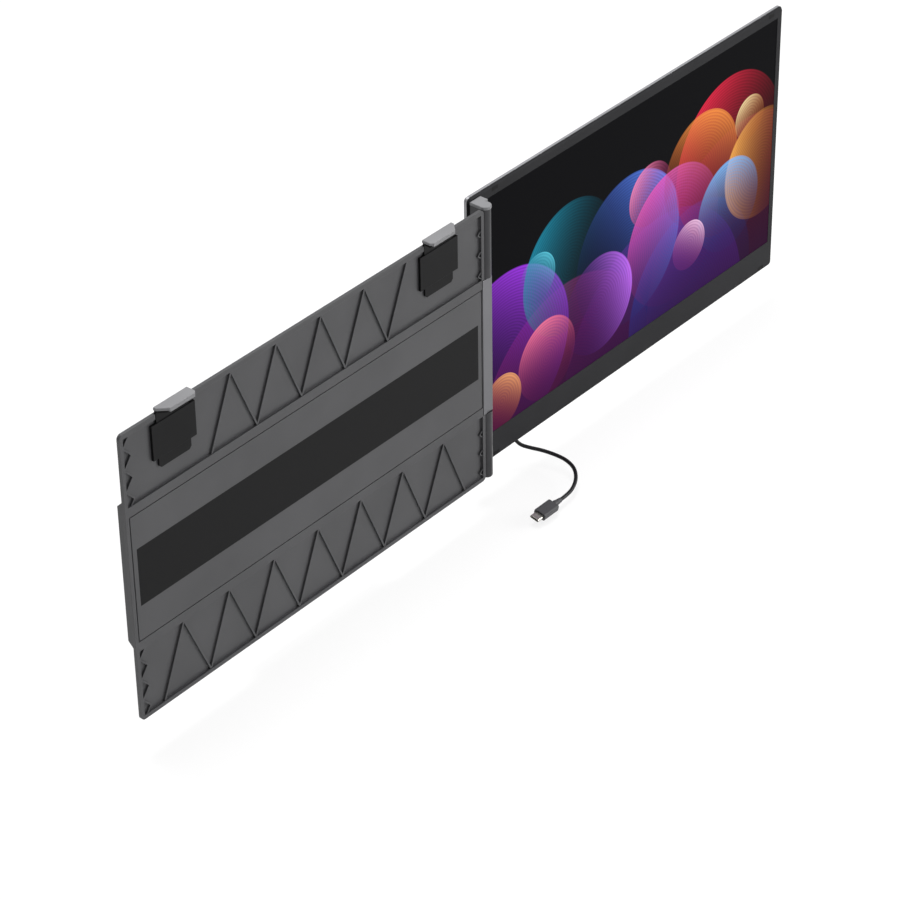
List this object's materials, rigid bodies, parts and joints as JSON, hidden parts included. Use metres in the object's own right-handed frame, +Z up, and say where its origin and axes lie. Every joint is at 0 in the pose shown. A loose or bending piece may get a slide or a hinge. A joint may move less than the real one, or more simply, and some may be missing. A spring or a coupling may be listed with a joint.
{
  "type": "laptop screen extender",
  "caption": "Portable second screen on a friction hinge beside a flat bracket that hangs on a laptop lid by sliding clips, with a rear stand and a short plug lead.",
  "frame": {"origin": "centre of the bracket's front seat face, where the back of the laptop lid rests", "axes": "+X to the user's right, towards the second screen; +Y to the rear, away from the user; +Z up along the lid"},
  "size_m": [0.7822, 0.0791, 0.2685],
  "materials": {
    "tray_plastic": "satin moulded polymer, dark grey",
    "housing_plastic": "satin moulded polymer, dark grey",
    "hinge_metal": "bead-blasted, dark grey anodised",
    "arm_metal": "satin grey powder coat",
    "screw_steel": "blackened",
    "pin_steel": "ground",
    "sleeve_bronze": "plain",
    "silicone": "matt black silicone",
    "clip_polymer": "satin grey",
    "slide_polymer": "matt black",
    "bezel_polymer": "satin black",
    "panel_glass": "anti-glare display sheet",
    "cell_glass": "liquid crystal cell",
    "light_sheet": "light guide and films",
    "cover_metal": "bead-blasted, dark grey anodised",
    "board": "green solder mask",
    "port_steel": "nickel plated",
    "key_polymer": "matt black",
    "stand_metal": "bead-blasted, dark grey anodised",
    "lead_jacket": "matt black elastomer",
    "plug_polymer": "satin black overmould"
  },
  "bodies": {
    "bracket": {"bracket_tray": "tray_plastic", "seat_pad": "silicone", "rear_housing": "housing_plastic", "housing_screws": "screw_steel", "hinge_arm": "arm_metal", "arm_screws": "screw_steel", "friction_sleeves": "sleeve_bronze", "clip_guide_left": "slide_polymer", "clip_guide_right": "slide_polymer", "friction_strips": "silicone", "stand_pin": "pin_steel"},
    "screen": {"hinge_pin_upper": "pin_steel", "hinge_pin_lower": "pin_steel", "hinge_barrel_upper": "hinge_metal", "hinge_barrel_lower": "hinge_metal", "hinge_cap": "clip_polymer", "leaf_screws": "screw_steel", "screen_bezel": "bezel_polymer", "bezel_bumpers": "silicone", "display_glass": "panel_glass", "display_cell": "cell_glass", "backlight_unit": "light_sheet", "rear_cover": "cover_metal", "main_board": "board", "port_sockets": "port_steel", "key_board": "board", "hinge_backing_plate": "pin_steel", "lead_cable": "lead_jacket", "port_plug": "plug_polymer", "port_plug_nose": "port_steel", "laptop_plug": "plug_polymer", "laptop_plug_nose": "port_steel"},
    "clip_left": {"lid_clip_left": "clip_polymer", "clip_slide_left": "slide_polymer", "clip_liner_left": "silicone"},
    "clip_right": {"lid_clip_right": "clip_polymer", "clip_slide_right": "slide_polymer", "clip_liner_right": "silicone"},
    "stand": {"rear_stand": "stand_metal", "stand_foot": "silicone"},
    "menu_key": {"menu_key": "key_polymer"},
    "plus_key": {"plus_key": "key_polymer"},
    "minus_key": {"minus_key": "key_polymer"}
  },
  "joints": [
    {"name": "screen_fold", "type": "hinge", "parent": "bracket", "child": "screen", "pos_m": [0.1959, 0.0029, 0], "axis": [0, 0, -1], "range_deg": [0, 180]},
    {"name": "clip_left_slide", "type": "slide", "parent": "bracket", "child": "clip_left", "axis": [0, 0, 1], "range_m": [-0.0044, 0.018]},
    {"name": "clip_right_slide", "type": "slide", "parent": "bracket", "child": "clip_right", "axis": [0, 0, 1], "range_m": [-0.0044, 0.018]},
    {"name": "stand_fold", "type": "hinge", "parent": "bracket", "child": "stand", "pos_m": [0, 0.0106, 0.05], "axis": [1, 0, 0], "range_deg": [0, 65]},
    {"name": "menu_key_press", "type": "slide", "parent": "screen", "child": "menu_key", "axis": [0, -1, 0], "range_m": [0, 0.0004], "stiffness_N_per_m": 400},
    {"name": "plus_key_press", "type": "slide", "parent": "screen", "child": "plus_key", "axis": [0, -1, 0], "range_m": [0, 0.0004], "stiffness_N_per_m": 400},
    {"name": "minus_key_press", "type": "slide", "parent": "screen", "child": "minus_key", "axis": [0, -1, 0], "range_m": [0, 0.0004], "stiffness_N_per_m": 400}
  ]
}
